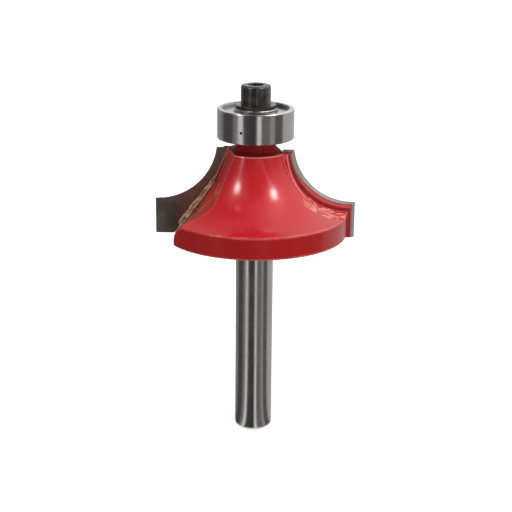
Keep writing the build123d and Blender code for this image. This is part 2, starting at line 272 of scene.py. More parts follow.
def speck_effect():
    """Scattered specks: the middles of a few random cells."""
    draft, given, result = new_group("Specks", {"Size": 0.6 * MM, "Share": 0.2}, ("Mask",))
    scale = draft.calc("DIVIDE", 1.0, given["Size"])
    cells = draft.add("ShaderNodeTexVoronoi", {"Vector": draft.place, "Scale": scale}).outputs
    chance = draft.add("ShaderNodeSeparateColor", {0: cells["Color"]}).outputs[0]
    chosen = draft.calc("LESS_THAN", chance, given["Share"])
    speck = draft.product(chosen, draft.ramp(cells["Distance"], SPECK_EDGE))
    draft.join(speck, result.inputs["Mask"])
    return draft.tree


EFFECT_MAKERS = {
    "Grinding lines": grinding_effect,
    "Cloud": cloud_effect,
    "Specks": speck_effect,
}


def dress(node_names, material):
    """Give CAD nodes one material in every slot."""
    for name in node_names:
        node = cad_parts[name]
        node.data.materials.clear()
        node.data.materials.append(material)


def distance_from_axis(draft):
    """Distance of a point from the bit's axis."""
    x, y, z = draft.xyz
    return draft.calc("SQRT", draft.calc("ADD", draft.product(x, x), draft.product(y, y)))


def before_face(draft):
    """Distance in front of the face of the tip on a point's own side, below zero behind it."""
    x, y, z = draft.xyz
    return draft.calc("MULTIPLY_ADD", draft.calc("SIGN", x), y, TIP_FACE)


def depth_in_tip(draft):
    """Depth of a point of a tip or its braze under the tip's face."""
    return draft.calc("SUBTRACT", draft.calc("ABSOLUTE", draft.xyz[1]), TIP_FACE)


def outside_inner_edge(draft):
    """Distance outwards from the line of a tip's long inner edge, below zero towards the axis."""
    x, y, z = draft.xyz
    along = Vector((TIP_FOOT[0] - TIP_KNEE[0], TIP_FOOT[1] - TIP_KNEE[1])).normalized()
    from_knee = draft.calc("SUBTRACT", draft.calc("ABSOLUTE", x), TIP_KNEE[0])
    above_knee = draft.calc("SUBTRACT", z, TIP_KNEE[1])
    return draft.calc(
        "ADD", draft.product(from_knee, -along.y), draft.product(above_knee, along.x)
    )


# Where masks on the body are 0 and where they are 1: heights, lengths, parts of a normal, or
# levels of a noise
PAINT_FOOT = (HEAD_BASE - 0.4 * MM, HEAD_BASE - 0.3 * MM)
GULLET_FRONT = (-0.1 * MM, 0.0)
GULLET_FROM_AXIS = (4.3 * MM, 4.9 * MM)
GULLET_NEAR_TIP = (5.5 * MM, 1.5 * MM)
GULLET_BESIDE_FACE = (1.5 * MM, 0.3 * MM)
GULLET_LOW = (HEAD_BASE + 10 * MM, HEAD_BASE + 3 * MM)
SEAM = (-0.7 * MM, -0.4 * MM)
NECK_FOOT = (HEAD_TOP - 0.05 * MM, HEAD_TOP - 0.01 * MM)
MOUTH_FOOT = (HEAD_TOP - 0.4 * MM, HEAD_TOP - 0.28 * MM)
MOUTH_OUTSIDE = (0.3, 0.45)
MOUTH_INSIDE = (0.98, 0.9)
RIM_TOP = (RIM_HEIGHT, RIM_HEIGHT - 0.2 * MM)
RIM_SIDE = (RIM_RADIUS - 0.5 * MM, RIM_RADIUS - 0.2 * MM)
RIM_SHADE = (HEAD_BASE + 0.38 * MM, HEAD_BASE + 0.2 * MM)
RIM_GLOSSY_END = (0.5, 0.85)
EDGE_ALIKE = (0.995, 0.95)
EDGE_NOISE = (0.3, 0.6)
LOBE_EDGE_START = (-0.34 * MM, -0.2 * MM)
LOBE_EDGE_END = (0.06 * MM, 0.02 * MM)
LOBE_NOT_BACK = (0.97, 0.9)
LOBE_ABOVE_RIM = (RIM_HEIGHT - 0.1 * MM, RIM_HEIGHT + 0.3 * MM)
LOBE_OUTWARD = (4 * MM, 5 * MM)
FLECK_NOISE = (0.51, 0.57)
FLECK_OUTWARD = (7.4 * MM, 9.2 * MM)
FLECK_ABOVE_RIM = (RIM_HEIGHT - 0.1 * MM, RIM_HEIGHT + 0.1 * MM)
FLECK_REAR = (5.6 * MM, 4.6 * MM)
FLECK_FRONT = (TIP_THICKNESS - 0.3 * MM, TIP_THICKNESS)

# How far the edges of the paint, of its dirt and of its painted shade wander, its scales per metre,
# and the size of a streak outwards, backwards and upwards
PAINT_RAG, PAINT_RAG_SCALE = 0.3 * MM, 900.0
SEAM_RAG = 0.5 * MM
RIM_SHADE_RAG = 0.2 * MM
PEEL_SCALE = 750.0
FLECK_SIZE = (1.3 * MM, 0.5 * MM, 0.6 * MM)

# Samples of a rounded edge, how many times wider its painted highlight is, and the shine of the
# coats
EDGE_SAMPLES = 4
EDGE_REACH = 1.8
PAINT_SPECULAR = 0.2
COAT_IOR = 1.5


def rounded_normal(draft, width):
    """Normal that is rounded along sharp edges."""
    bevel = draft.add("ShaderNodeBevel", {"Radius": width}, samples=EDGE_SAMPLES)
    return bevel.outputs["Normal"]


def sharp_edges(draft, width):
    """1 along sharp edges: where the rounded normal leaves the true one."""
    true_normal = draft.add("ShaderNodeNewGeometry").outputs["Normal"]
    alike = draft.measure("DOT_PRODUCT", rounded_normal(draft, width), true_normal)
    return draft.ramp(alike, EDGE_ALIKE)


def out_of_back(draft, x, y):
    """Part of a place or a normal that points out of the back of the lobe on its own side."""
    outward = draft.calc(
        "ADD",
        draft.product(x, -math.sin(LOBE_BACK_ANGLE)),
        draft.product(y, -math.cos(LOBE_BACK_ANGLE)),
    )
    return draft.product(outward, draft.calc("SIGN", draft.xyz[0]))


def lobe_edges(draft):
    """1 on the rounded top edge of each lobe's back."""
    x, y, z = draft.xyz
    back = LOBE_BACK * math.cos(LOBE_BACK_ANGLE)
    beyond_back = draft.calc("SUBTRACT", out_of_back(draft, x, y), back)
    return draft.product(
        draft.ramp(beyond_back, LOBE_EDGE_START),
        draft.ramp(beyond_back, LOBE_EDGE_END),
        draft.ramp(out_of_back(draft, *draft.facing[:2]), LOBE_NOT_BACK),
        draft.ramp(z, LOBE_ABOVE_RIM),
        draft.ramp(draft.calc("ABSOLUTE", x), LOBE_OUTWARD),
    )


def painted_highlights(draft, paint, cloud, neck):
    """Where highlights are painted: along sharp edges, the edge round the neck and the lobes'
    edges.
    """
    height, upward = draft.xyz[2], draft.facing[2]
    uneven = draft.fade(draft.ramp(cloud["Fine"], EDGE_NOISE), low=0.55, high=0.95)
    mouth = draft.product(
        draft.calc("SUBTRACT", draft.ramp(height, MOUTH_FOOT), neck),
        draft.ramp(upward, MOUTH_OUTSIDE),
        draft.ramp(upward, MOUTH_INSIDE),
    )
    return draft.largest(
        draft.product(sharp_edges(draft, EDGE_REACH * paint.edge_width), uneven),
        mouth,
        draft.product(lobe_edges(draft), draft.fade(uneven, low=0.3, high=0.9)),
    )


def filler_flecks_and_glints(draft):
    """Streaks of filler that show through the paint on the lobes, low down behind the tips, and
    painted glints there.
    """
    x, y, z = draft.xyz
    behind = draft.product(before_face(draft), -1.0)
    outward = draft.calc("ABSOLUTE", x)
    spot = draft.add("ShaderNodeCombineXYZ", {0: outward, 1: behind, 2: z}).outputs[0]
    streaks = draft.noise(draft.stretched(spot, FLECK_SIZE), 1.0, detail=4.0)
    return draft.product(
        draft.ramp(streaks, FLECK_NOISE),
        draft.ramp(outward, FLECK_OUTWARD),
        draft.ramp(z, FLECK_ABOVE_RIM),
        draft.ramp(behind, FLECK_REAR),
        draft.ramp(behind, FLECK_FRONT),
    )


def gullet_wall(draft, paint, cloud):
    """Mask of the gullets' walls near the tips, and their colour: brightened high up as painted
    light, with the dirt beside the braze.
    """
    front = before_face(draft)
    wall = draft.product(
        draft.ramp(front, GULLET_FRONT),
        draft.ramp(distance_from_axis(draft), GULLET_FROM_AXIS),
    )
    low = draft.ramp(draft.xyz[2], GULLET_LOW)
    # High up, the wall is brightened past the paint's own red as painted light
    colour = draft.blend(low, paint.wall_light_and_speck_colour, paint.wall_foot_colour)
    seam = draft.product(
        draft.ramp(draft.ragged(outside_inner_edge(draft), cloud["Fine"], SEAM_RAG), SEAM),
        draft.product(wall, draft.ramp(front, GULLET_BESIDE_FACE)),
    )
    colour = draft.blend(seam, colour, paint.dirt_and_shade_colour, strength=0.9)
    return draft.product(wall, draft.ramp(front, GULLET_NEAR_TIP)), colour


def head_colour(draft, paint, cloud, neck, rim, rim_shade):
    """Paint on the head, with its gullets, neck, rim and filler showing through, and painted light:
    the gullet walls brightened, highlights on edges and glints on the neck, shade on the neck, on
    the rim's side and under the rim.
    """
    near_tip, wall = gullet_wall(draft, paint, cloud)
    specks = draft.effect("Specks", size=0.5 * MM, share=0.12)
    # Light specks on the neck are painted glints
    neck_glints = draft.effect("Specks", size=0.4 * MM, share=0.1)
    glinting_neck = draft.blend(neck_glints["Mask"], paint.neck_shade_colour, paint.highlight_colour, strength=0.5)
    red = draft.blend(near_tip, paint.colour, wall)
    red = draft.blend(cloud["Mask"], red, paint.thick_colour, strength=0.25)
    # Specks of lighter red in the paint itself
    red = draft.blend(specks["Mask"], red, paint.wall_light_and_speck_colour, strength=0.35)
    # The neck is darkened as painted shade under the bearing, and its paint is dull
    red = draft.blend(neck, red, glinting_neck)
    # The rim's upright side is darkened as painted shade
    red = draft.blend(rim, red, paint.rim_shade_colour)
    # Painted shade along the rim's downward bottom edge
    red = draft.blend(rim_shade, red, paint.dirt_and_shade_colour, strength=0.8)
    # Painted highlights along sharp edges, round the neck's edge and along the lobes' edges
    red = draft.blend(painted_highlights(draft, paint, cloud, neck), red, paint.highlight_colour)
    # Flecks of filler, which also stand as painted glints
    return draft.blend(filler_flecks_and_glints(draft), red, paint.fleck_and_glint_colour, strength=0.8)


def body_material(paint, steel):
    """Glossy paint on the head, and ground steel on the shank, parted just under the flange."""
    draft = Finish("painted_head_and_ground_shank")
    height = draft.xyz[2]
    lines = draft.effect("Grinding lines", line_width=steel.line_width, length=4 * MM)
    cloud = draft.effect("Cloud", size=4 * MM)
    rag = draft.noise(draft.place, PAINT_RAG_SCALE)
    painted = draft.ramp(draft.ragged(height, rag, -PAINT_RAG), PAINT_FOOT)
    neck = draft.ramp(height, NECK_FOOT)
    # Painted shade along the rim's bottom edge, where the gloss is also taken away
    rim_shade = draft.ramp(draft.ragged(height, cloud["Fine"], RIM_SHADE_RAG), RIM_SHADE)
    rim = draft.product(
        draft.ramp(height, RIM_TOP), draft.ramp(distance_from_axis(draft), RIM_SIDE)
    )

    paint_colour = head_colour(draft, paint, cloud, neck, rim, rim_shade)
    steel_colour = draft.blend(lines["Tone"], steel.dark_colour, steel.colour)

    paint_rough = draft.vary(cloud["Fine"], paint.roughness, above=0.08, below=0.04)
    paint_rough = draft.fade(neck, paint_rough, paint.neck_roughness)
    steel_rough = draft.vary(cloud["Mask"], steel.roughness, above=0.08)

    rim_end = draft.ramp(draft.facing[0], RIM_GLOSSY_END)
    gloss = draft.fade(neck, paint.coat, 0.0)
    gloss = draft.fade(rim, gloss, draft.fade(rim_end, paint.rim_coat, 1.0))
    gloss = draft.fade(rim_shade, gloss, 0.0)

    peel = draft.product(
        draft.noise(draft.place, PEEL_SCALE, detail=1.0), paint.peel_height / MM
    )
    scratches = draft.product(lines["Height"], steel.line_depth / MM)
    normal = draft.bump(
        draft.fade(painted, scratches, peel), rounded_normal(draft, paint.edge_width)
    )

    draft.shade(
        base_color=draft.blend(painted, steel_colour, paint_colour),
        metallic=draft.inverse(painted),
        roughness=draft.fade(painted, steel_rough, paint_rough),
        specular_ior_level=PAINT_SPECULAR,
        coat_weight=draft.product(painted, gloss),
        coat_roughness=paint.coat_roughness,
        coat_ior=COAT_IOR,
        normal=normal,
        coat_normal=normal,
    )
    return draft.material


# Where masks on the tips are 0 and where they are 1: heights, lengths, or parts of a normal
STAIN = (1.35 * MM, 0.6 * MM)
HEAT_TINT = (3.6 * MM, 0.6 * MM)
UPPER_TINT = (TIP_KNEE[1] - 4.5 * MM, TIP_KNEE[1] - 0.5 * MM)
ON_FACE = (0.04 * MM, 0.01 * MM)
AT_CUTTING_EDGE = (15.6 * MM, 16.0 * MM)
ON_TOP = (0.25, 0.75)
PAINT_LAP = (0.2 * MM, 0.26 * MM)
PAINT_LAP_LINE = (0.02 * MM, 0.08 * MM)

# How far the edges of the stain and the paint wander, the size and turn of the ground lines,
# how deep the tips are bare behind their faces, and how glossy the paint on them is
STAIN_RAG, PAINT_LAP_RAG = 0.9 * MM, 0.3 * MM
SLANT_SIZE = (2 * MM, 2 * MM, 0.04 * MM)
SLANT_TURN = (0.0, math.radians(50), 0.0)
BARE_FLANK, BARE_AT_EDGE, BARE_ON_TOP = 1.85 * MM, 1.5 * MM, 1.06 * MM
FLANK_COAT = 0.1


def tip_face_colour(draft, carbide, lines, cloud):
    """Face of a tip: tinted near the braze and high up, stained along the braze, and mottled."""
    outward = outside_inner_edge(draft)
    heat = draft.ramp(outward, HEAT_TINT)
    upper = draft.ramp(draft.xyz[2], UPPER_TINT)
    stain = draft.ramp(draft.ragged(outward, cloud["Fine"], STAIN_RAG), STAIN)
    patches = draft.effect("Cloud", size=0.9 * MM)
    mottled = draft.product(patches["Mask"], patches["Fine"])
    face = draft.blend(lines, carbide.dark_colour, carbide.colour)
    face = draft.blend(heat, face, carbide.brown_colour, strength=0.75)
    face = draft.blend(upper, face, carbide.khaki_colour, strength=0.7)
    face = draft.blend(stain, face, carbide.stain_colour)
    return draft.blend(mottled, face, carbide.mottle_colour, strength=0.9)


def carbide_material(carbide, paint):
    """Ground carbide with fine slanting lines, and paint that laps over the rear of the flank."""
    draft = Finish("ground_carbide")
    lines = draft.noise(draft.stretched(draft.place, SLANT_SIZE, SLANT_TURN), 1.0, detail=3.0)
    cloud = draft.effect("Cloud", size=2 * MM)
    depth = depth_in_tip(draft)

    outward = draft.calc("ABSOLUTE", draft.xyz[0])
    bare = draft.fade(draft.ramp(outward, AT_CUTTING_EDGE), BARE_FLANK, BARE_AT_EDGE)
    bare = draft.fade(draft.ramp(draft.facing[2], ON_TOP), bare, BARE_ON_TOP)
    lap = draft.calc("SUBTRACT", draft.ragged(depth, cloud["Fine"], PAINT_LAP_RAG), bare)
    painted = draft.ramp(lap, PAINT_LAP)
    lap_line = draft.product(draft.ramp(lap, PAINT_LAP_LINE), draft.inverse(painted))

    face = tip_face_colour(draft, carbide, lines, cloud)
    flank = draft.blend(lines, carbide.flank_dark_colour, carbide.flank_colour)
    ground = draft.blend(draft.ramp(depth, ON_FACE), flank, face)
    skin = draft.blend(painted, ground, paint.thick_colour)

    draft.shade(
        base_color=draft.blend(lap_line, skin, carbide.gap_colour),
        metallic=draft.inverse(painted),
        roughness=draft.vary(cloud["Mask"], carbide.roughness, above=0.1),
        coat_weight=draft.product(painted, FLANK_COAT * paint.coat),
        coat_roughness=paint.coat_roughness,
        coat_ior=COAT_IOR,
        normal=draft.bump(draft.product(lines, carbide.line_depth / MM)),
    )
    return draft.material


# Where the bright flecks begin and end in a noise, where the paint does in depth, and the lumps
BRAZE_FLECKS = (0.6, 0.68)
BRAZE_PAINTED = (TIP_THICKNESS - 0.1 * MM, TIP_THICKNESS)
BRAZE_LUMP_SCALE, BRAZE_LUMP_HEIGHT = 2600.0, 0.12 * MM


def braze_material(braze):
    """Dull brass-coloured filler, lumpy, with dark flux dots, bright flecks that are also painted
    glints, and paint behind the tip darkened as painted shade.
    """
    draft = Finish("brazing_filler")
    cloud = draft.effect("Cloud", size=0.8 * MM)
    flux = draft.effect("Specks", size=0.45 * MM, share=0.3)
    painted = draft.ramp(depth_in_tip(draft), BRAZE_PAINTED)
    tone = draft.blend(cloud["Mask"], braze.colour, braze.burnt_colour)
    # Bright flecks of filler, which also stand as painted glints
    tone = draft.blend(draft.ramp(cloud["Fine"], BRAZE_FLECKS), tone, braze.fleck_and_glint_colour)
    tone = draft.blend(flux["Mask"], tone, braze.flux_colour)
    lumps = draft.noise(draft.place, BRAZE_LUMP_SCALE, detail=3.0)
    draft.shade(
        # Behind the tip: paint over the filler, darkened as painted shade
        base_color=draft.blend(painted, tone, braze.paint_in_shade_colour),
        metallic=draft.fade(painted, low=0.35, high=0.0),
        roughness=draft.fade(flux["Mask"], low=0.42, high=0.8),
        normal=draft.bump(draft.product(lumps, BRAZE_LUMP_HEIGHT / MM)),
    )
    return draft.material


# Where a face counts as upward and gets a painted highlight, how deep lines are next to the
# shank's, and the nick's edge
BEARING_UPWARD = (0.3, 0.8)
BEARING_LINE_SHARE = 0.5
NICK_EDGE = (0.32 * MM, 0.24 * MM)
NICK_RAG = 0.12 * MM


def bearing_material(name, steel, roughness, nick=None, darkened=0.0):
    """Bright steel with faint turned lines, a painted highlight on upward faces, a share darkened
    where given, and a nick where given.
    """
    draft = Finish(name)
    lines = draft.effect("Grinding lines", line_width=0.04 * MM, length=5 * MM)
    cloud = draft.effect("Cloud", size=2.5 * MM)
    tone = draft.blend(lines["Tone"], steel.dark_colour, steel.bearing_colour)
    # Upward faces lightened as a painted highlight
    tone = draft.blend(draft.ramp(draft.facing[2], BEARING_UPWARD), tone, steel.upward_highlight_colour)
    if darkened:
        # Darkened by the given share, towards a dark colour
        tone = draft.blend(darkened, tone, steel.wire_dark_colour)
    if nick is not None:
        away = draft.ragged(draft.measure("DISTANCE", draft.place, nick), cloud["Fine"], NICK_RAG)
        tone = draft.blend(draft.ramp(away, NICK_EDGE), tone, steel.nick_colour)
    scratches = draft.product(lines["Height"], BEARING_LINE_SHARE * steel.line_depth / MM)
    draft.shade(
        base_color=tone,
        metallic=1.0,
        roughness=draft.vary(cloud["Mask"], roughness, above=0.05),
        normal=draft.bump(scratches),
    )
    return draft.material


OIL_ROUGHNESS = 0.12
OXIDE_LINE_DEPTH, OXIDE_GRAIN = 0.0012 * MM, 0.004 * MM


def black_oxide_material(oxide):
    """Black oxide on steel: a dark satin skin, thinner in patches, with a film of oil."""
    draft = Finish("black_oxide")
    cloud = draft.effect("Cloud", size=1.2 * MM)
    lines = draft.effect("Grinding lines", line_width=0.06 * MM, length=2 * MM)
    grain = draft.product(cloud["Fine"], OXIDE_GRAIN / MM)
    draft.shade(
        base_color=draft.blend(cloud["Mask"], oxide.colour, oxide.thin_colour),
        roughness=draft.vary(cloud["Fine"], oxide.roughness, above=0.12),
        coat_weight=oxide.oil,
        coat_roughness=OIL_ROUGHNESS,
        coat_ior=COAT_IOR,
        normal=draft.bump(draft.ragged(grain, lines["Height"], OXIDE_LINE_DEPTH / MM)),
    )
    return draft.material


def grid_faces(rows, columns, closed):
    """Quads of a grid of points, row by row; closed joins the last column to the first."""
    columns_of_faces = columns if closed else columns - 1
    row, column = np.meshgrid(np.arange(rows - 1), np.arange(columns_of_faces), indexing="ij")
    next_column = (column + 1) % columns
    start, next_start = row * columns, (row + 1) * columns
    corners = (start + column, start + next_column, next_start + next_column, next_start + column)
    return np.stack(corners, -1).reshape(-1, 4)


def new_surface(name, points, faces, material, smooth=True):
    """Object whose mesh holds points and quads given as whole arrays."""
    mesh = bpy.data.meshes.new(name)
    mesh.from_pydata(points.reshape(-1, 3).tolist(), [], faces.tolist())
    mesh.polygons.foreach_set("use_smooth", np.full(len(mesh.polygons), smooth))
    mesh.materials.append(material)
    mesh.update()
    piece = bpy.data.objects.new(name, mesh)
    bpy.context.scene.collection.objects.link(piece)
    return piece


# The run of filler: points along it and round it, how far it starts above the knee and ends
# before the foot, and its sizes as (at its top, at its foot)
RUN_ROWS, RUN_COLUMNS = 241, 24
RUN_START, RUN_END = 0.9 * MM, 1.7 * MM
RUN_HALF_WIDTH = (0.17 * MM, 0.32 * MM)
RUN_HALF_HEIGHT = (0.16 * MM, 0.22 * MM)
RUN_OUTWARD = (0.1 * MM, 0.25 * MM)
RUN_END_POWER = 8

# Its waves as (size, radians over its length), with lumps as shares of its width and a sway
# that shifts the coarse lumps
COARSE_LUMPS, FINE_LUMPS = (0.16, 61), (0.1, 143)
LUMP_SWAY = (2, 17)
FINE_LUMPS_ROUND = 3
RUN_WANDER = (0.06 * MM, 23)


def brazing_run(side, material):
    """Lumpy run of filler along the tip's long inner edge, lapping onto its face.

    A flattened tube lies round a line from just above the knee to near the foot. With u the
    share of the way down and v the turn round the tube, its half width and half height grow
    evenly with u. Both are multiplied by 1 plus a coarse wave of u, which a slower wave
    shifts, plus a fine wave of u and three times v, and by the square root of 1 - (2 u - 1)^8,
    which closes the ends. Its middle lies outwards from the line by a length that grows
    evenly with u, plus a wave of u.
    """

    def wave(size_and_rate, phase=0.0):
        size, rate = size_and_rate
        return size * np.sin(rate * u + phase)

    knee, foot = np.array(TIP_KNEE), np.array(TIP_FOOT)
    along = (foot - knee) / np.linalg.norm(foot - knee)
    outward = np.array((-along[1], along[0]))
    start = knee - along * RUN_START
    length = np.linalg.norm(foot - start) - RUN_END
    u = np.linspace(0, 1, RUN_ROWS)[:, None]
    v = np.linspace(0, 2 * np.pi, RUN_COLUMNS, endpoint=False)[None, :]
    lumps = 1 + wave(COARSE_LUMPS, wave(LUMP_SWAY)) + wave(FINE_LUMPS, FINE_LUMPS_ROUND * v)
    closing = np.sqrt(np.clip(1 - (2 * u - 1) ** RUN_END_POWER, 0, 1))
    swelling = lumps * closing
    middle = np.interp(u, (0, 1), RUN_OUTWARD) + wave(RUN_WANDER)
    across = middle + np.interp(u, (0, 1), RUN_HALF_WIDTH) * swelling * np.cos(v)
    above = np.interp(u, (0, 1), RUN_HALF_HEIGHT) * swelling * np.sin(v)
    flat = start + along * (u * length)[..., None] + outward * across[..., None]
    points = np.stack([side * flat[..., 0], side * (above - TIP_FACE), flat[..., 1]], -1)
    faces = grid_faces(RUN_ROWS, RUN_COLUMNS, True)[:, ::-1]
    piece = new_surface(f"brazing_run_{'b' if side > 0 else 'a'}", points, faces, material)
    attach(piece, "bit")


def colour_setting(name, description, default):
    """Colour that a user may change."""
    return FloatVectorProperty(
        name=name, description=description, subtype="COLOR", default=default, min=0, max=1
    )


def share_setting(name, description, default):
    """Share from 0 to 1 that a user may change."""
    return FloatProperty(
        name=name, description=description, subtype="FACTOR", default=default, min=0, max=1
    )


def length_setting(name, description, default):
    """Length that a user may change."""
    return FloatProperty(
        name=name, description=description, unit="LENGTH", default=default, min=0, precision=6
    )


def angle_setting(name, description, degrees):
    """Angle that a user may change."""
    return FloatProperty(
        name=name, description=description, subtype="ANGLE", default=math.radians(degrees)
    )


def power_setting(name, description, default):
    """Power of a lamp, in watts, that a user may change."""
    return FloatProperty(
        name=name, description=description, subtype="POWER", default=default, min=0
    )


class PaintSettings(bpy.types.PropertyGroup):
    """Paint on the head."""

    colour: colour_setting("Colour", "Paint on the head", (0.56, 0.004, 0.011))
    thick_colour: colour_setting("Thick colour", "Where the paint is thick", (0.5, 0.003, 0.008))
    # Painted light: the gullet wall high up is brighter than the paint's red; the same colour gives
    # the paint's specks
    wall_light_and_speck_colour: colour_setting("Gullet top", "Gullet wall high up", (0.95, 0.008, 0.012))
    wall_foot_colour: colour_setting("Gullet foot", "Heat-stained gullet wall", (0.5, 0.08, 0.042))
    # Painted shade: the paint round the bearing is darker, for the shade under it
    neck_shade_colour: colour_setting("Neck", "Dull paint round the bearing", (0.26, 0.007, 0.009))
    # Painted highlight: light pink over sharp edges, the neck's edge and the lobes' edges, and
    # glints on the neck
    highlight_colour: colour_setting("Edges", "Paint drawn thin over sharp edges", (0.95, 0.2, 0.2))
    # Dark colour: dirt beside the braze, and painted shade along the rim's bottom edge
    dirt_and_shade_colour: colour_setting("Dirt", "Beside the braze and under the rim", (0.09, 0.018, 0.012))
    # Painted shade: the rim's upright side is darker than the rest of the paint
    rim_shade_colour: colour_setting("Rim", "Flatter paint on the rim's side", (0.4, 0.003, 0.005))
    # Filler showing on the lobes, and painted glints
    fleck_and_glint_colour: colour_setting("Flecks", "Filler that shows on the lobes", (0.86, 0.3, 0.24))
    roughness: share_setting("Roughness", "Of the paint under its gloss", 0.4)
    neck_roughness: share_setting("Neck roughness", "Of the dull paint", 0.62)
    coat: share_setting("Gloss", "Share of the glossy skin", 1.0)
    rim_coat: share_setting("Rim gloss", "Share of the glossy skin on the rim's side", 0.12)
    coat_roughness: share_setting("Gloss roughness", "Of the glossy skin", 0.14)
    edge_width: length_setting("Edge width", "How far paint rounds sharp edges", 0.2 * MM)
    peel_height: length_setting("Orange peel", "Height of the paint's waves", 0.009 * MM)


class SteelSettings(bpy.types.PropertyGroup):
    """Bare steel of the shank and the bearing."""

    colour: colour_setting("Shank", "Ground shank", (0.62, 0.61, 0.59))
    dark_colour: colour_setting("Dark bands", "Darker ground bands", (0.52, 0.51, 0.49))
    # Painted highlight: the bearing's upward faces are lighter
    bearing_colour: colour_setting("Bearing", "Parts of the bearing", (0.66, 0.655, 0.64))
    upward_highlight_colour: colour_setting("Bearing faces", "Their upward faces", (0.78, 0.77, 0.76))
    # Dark colour that the snap wires are blended towards
    wire_dark_colour: colour_setting("Oil", "Film of oil on the snap wires", (0.03, 0.027, 0.025))
    nick_colour: colour_setting("Nick", "Small nick in the outer ring", (0.01, 0.01, 0.01))
    roughness: share_setting("Roughness", "Of the shank", 0.17)
    line_width: length_setting("Line width", "Width of the grinding lines", 0.06 * MM)
    line_depth: length_setting("Line depth", "Depth of the grinding lines", 0.001 * MM)


class CarbideSettings(bpy.types.PropertyGroup):
    """Cemented carbide tips."""

    colour: colour_setting("Colour", "Ground face", (0.4, 0.38, 0.36))
    dark_colour: colour_setting("Dark lines", "Lines on the face", (0.28, 0.26, 0.24))
    brown_colour: colour_setting("Heat tint", "Face near the braze", (0.225, 0.155, 0.12))
    khaki_colour: colour_setting("Upper tint", "Face high up", (0.37, 0.285, 0.2))
    mottle_colour: colour_setting("Mottling", "Dark patches on the face", (0.2, 0.185, 0.14))
    stain_colour: colour_setting("Stain", "Stain along the braze", (0.3, 0.18, 0.11))
    flank_colour: colour_setting("Flank", "Ground relief behind the edge", (0.46, 0.43, 0.42))
    flank_dark_colour: colour_setting("Flank lines", "Lines on the flank", (0.36, 0.33, 0.32))
    gap_colour: colour_setting("Paint's edge", "Dark line at its end", (0.05, 0.015, 0.013))
    roughness: share_setting("Roughness", "Of the tips", 0.34)
    line_depth: length_setting("Line depth", "Depth of the grinding lines", 0.0015 * MM)


class BrazeSettings(bpy.types.PropertyGroup):
    """Filler that holds the tips."""

    colour: colour_setting("Colour", "Filler", (0.56, 0.4, 0.25))
    burnt_colour: colour_setting("Burnt", "Burnt patches", (0.3, 0.16, 0.09))
    # Bright flecks of filler, and painted glints
    fleck_and_glint_colour: colour_setting("Flecks", "Bright flecks", (0.9, 0.55, 0.47))
    flux_colour: colour_setting("Flux", "Dark dots of flux", (0.01, 0.008, 0.007))
    # Paint over the filler behind the tip, darkened as painted shade in the step
    paint_in_shade_colour: colour_setting("Painted", "Filler behind the tip", (0.27, 0.01, 0.012))


class OxideSettings(bpy.types.PropertyGroup):
    """Black skin of the screw and the washer."""

    colour: colour_setting("Colour", "Black oxide", (0.009, 0.008, 0.008))
    thin_colour: colour_setting("Thin", "Patches where it is thin", (0.036, 0.034, 0.032))
    roughness: share_setting("Roughness", "Of the black oxide", 0.36)
    oil: share_setting("Oil", "Share of the oil film", 0.85)


class StudioSettings(bpy.types.PropertyGroup):
    """Camera, lamps and floor."""

    camera_place: FloatVectorProperty(
        name="Camera",
        description="Where it stands",
        subtype="TRANSLATION",
        unit="LENGTH",
        default=(0.26 * MM, -199.07 * MM, 96.58 * MM),
        precision=5,
    )
    camera_pitch: angle_setting("Looks down", "Camera's angle below level", 18.17)
    camera_roll: angle_setting("Roll", "Camera's right side raised", 0.534)
    camera_lens: FloatProperty(
        name="Lens", description="Focal length", unit="CAMERA", default=86.92
    )
    room_level: share_setting("Room", "Even light of the room", 0.42)
    overhead_watts: power_setting("Overhead", "Lamp above the bit", 1.2)
    front_watts: power_setting("Front", "Lamp beside the camera", 0.3)
    side_watts: power_setting("Side", "Lamp low on the right", 0.2)
    floor_shade: share_setting("Floor", "Grey of the floor", 0.8)
    floor_glow: share_setting("Floor glow", "Lift to white under the bit", 0.68)


class ROUTERBIT_OT_body(bpy.types.Operator):
    """Paint the head and grind the shank"""

    bl_idname = "router_bit.body"
    bl_label = "Body"

    def execute(self, context):
        scene = context.scene
        dress(["bit_body"], body_material(scene.router_bit_paint, scene.router_bit_steel))
        return {"FINISHED"}


class ROUTERBIT_OT_tips(bpy.types.Operator):
    """Finish the carbide tips"""

    bl_idname = "router_bit.tips"
    bl_label = "Carbide tips"

    def execute(self, context):
        scene = context.scene
        material = carbide_material(scene.router_bit_carbide, scene.router_bit_paint)
        dress(["carbide_tip_a", "carbide_tip_b"], material)
        return {"FINISHED"}


class ROUTERBIT_OT_braze(bpy.types.Operator):
    """Finish the braze and add the run along each tip"""

    bl_idname = "router_bit.braze"
    bl_label = "Braze"

    def execute(self, context):
        material = braze_material(context.scene.router_bit_braze)
        dress(["braze_a", "braze_b"], material)
        for side in (-1, 1):
            brazing_run(side, material)
        return {"FINISHED"}


